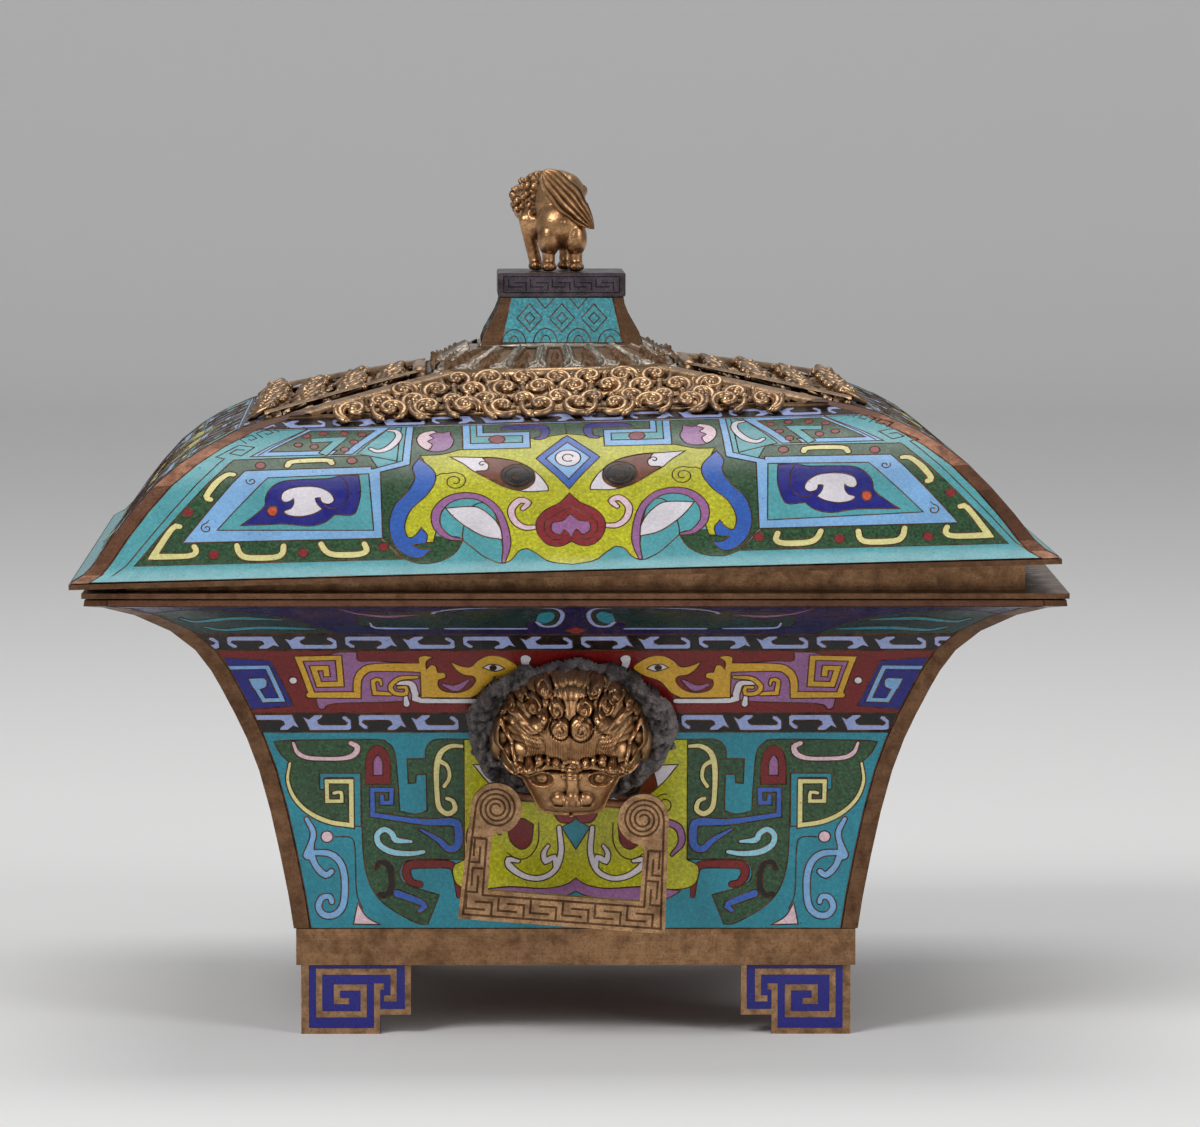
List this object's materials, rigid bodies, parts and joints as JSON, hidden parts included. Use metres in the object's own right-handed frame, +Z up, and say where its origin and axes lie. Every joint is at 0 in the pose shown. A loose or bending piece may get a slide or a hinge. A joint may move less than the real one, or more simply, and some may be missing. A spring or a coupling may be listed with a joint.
{
  "type": "cloisonne incense burner",
  "caption": "Square flared incense burner in cloisonne enamel, with a hipped openwork lid, lion finial, lion-mask drop handles, bracket feet and a lift-out liner.",
  "frame": {"origin": "on the table under the middle of the outline as it stands, with the lid askew; the vessel's own middle is 5 mm to its right, at x = 0.005 m", "axes": "+Z up, -Y towards the front, the side with a lion mask that is seen in the picture, +X to the right seen from the front"},
  "size_m": [0.3099, 0.3078, 0.2698],
  "materials": {
    "body_enamel": "turquoise glass enamel with coloured motifs between gilt wires, polished, on copper",
    "foot_enamel": "lapis blue glass enamel in a wide gilt meander, on copper",
    "gilt_bronze": "worn fire gilding, brown in the hollows",
    "pale_gilt": "pale gilding with grey-green deposit in the hollows",
    "dark_bronze": "dark purple-brown patina",
    "copper": "brown oxidised copper",
    "solder": "rough dark grey solder and corrosion"
  },
  "bodies": {
    "vessel": {"vessel_floor": "copper", "base_band": "gilt_bronze", "foot_front_right": "foot_enamel", "foot_front_left": "foot_enamel", "foot_back_right": "foot_enamel", "foot_back_left": "foot_enamel", "vessel_wall_front": "body_enamel", "vessel_wall_right": "body_enamel", "vessel_wall_back": "body_enamel", "vessel_wall_left": "body_enamel", "corner_post_front_right": "gilt_bronze", "corner_post_front_left": "gilt_bronze", "corner_post_back_right": "gilt_bronze", "corner_post_back_left": "gilt_bronze", "lip_frame": "gilt_bronze", "mouth_collar": "pale_gilt", "mask_plate_front": "solder", "mask_plate_back": "solder", "lion_mask_front": "gilt_bronze", "lion_mask_back": "gilt_bronze", "mask_rivet_front": "copper", "mask_rivet_back": "copper", "mask_washer_front": "copper", "mask_washer_back": "copper"},
    "liner": {"ash_liner": "copper"},
    "front_handle": {"drop_handle_front": "gilt_bronze", "handle_pin_front_right": "copper", "handle_pin_front_left": "copper"},
    "back_handle": {"drop_handle_back": "gilt_bronze", "handle_pin_back_right": "copper", "handle_pin_back_left": "copper"},
    "lid": {"lid_rim_frame": "gilt_bronze", "lid_panel_front": "body_enamel", "lid_panel_right": "body_enamel", "lid_panel_back": "body_enamel", "lid_panel_left": "body_enamel", "lid_hip_front_right": "copper", "lid_hip_front_left": "copper", "lid_hip_back_right": "copper", "lid_hip_back_left": "copper", "openwork_front": "pale_gilt", "openwork_right": "pale_gilt", "openwork_back": "pale_gilt", "openwork_left": "pale_gilt", "lappet_plate": "pale_gilt", "finial_pedestal": "body_enamel", "finial_cap": "dark_bronze", "finial_tie_bolt": "copper", "finial_tie_nut": "copper", "finial_lion": "gilt_bronze"}
  },
  "joints": [
    {"name": "lid_lift", "type": "slide", "parent": "vessel", "child": "lid", "axis": [0, 0, 1], "range_m": [0, 0.18]},
    {"name": "liner_lift", "type": "slide", "parent": "vessel", "child": "liner", "axis": [0, 0, 1], "range_m": [0, 0.06]},
    {"name": "front_handle_swing", "type": "hinge", "parent": "vessel", "child": "front_handle", "pos_m": [0.0035, -0.111, 0.0765], "axis": [-0.9972, 0, 0.075], "range_deg": [-24, 120]},
    {"name": "back_handle_swing", "type": "hinge", "parent": "vessel", "child": "back_handle", "pos_m": [0.0065, 0.111, 0.0765], "axis": [0.9997, 0, -0.0262], "range_deg": [-24, 120]}
  ]
}
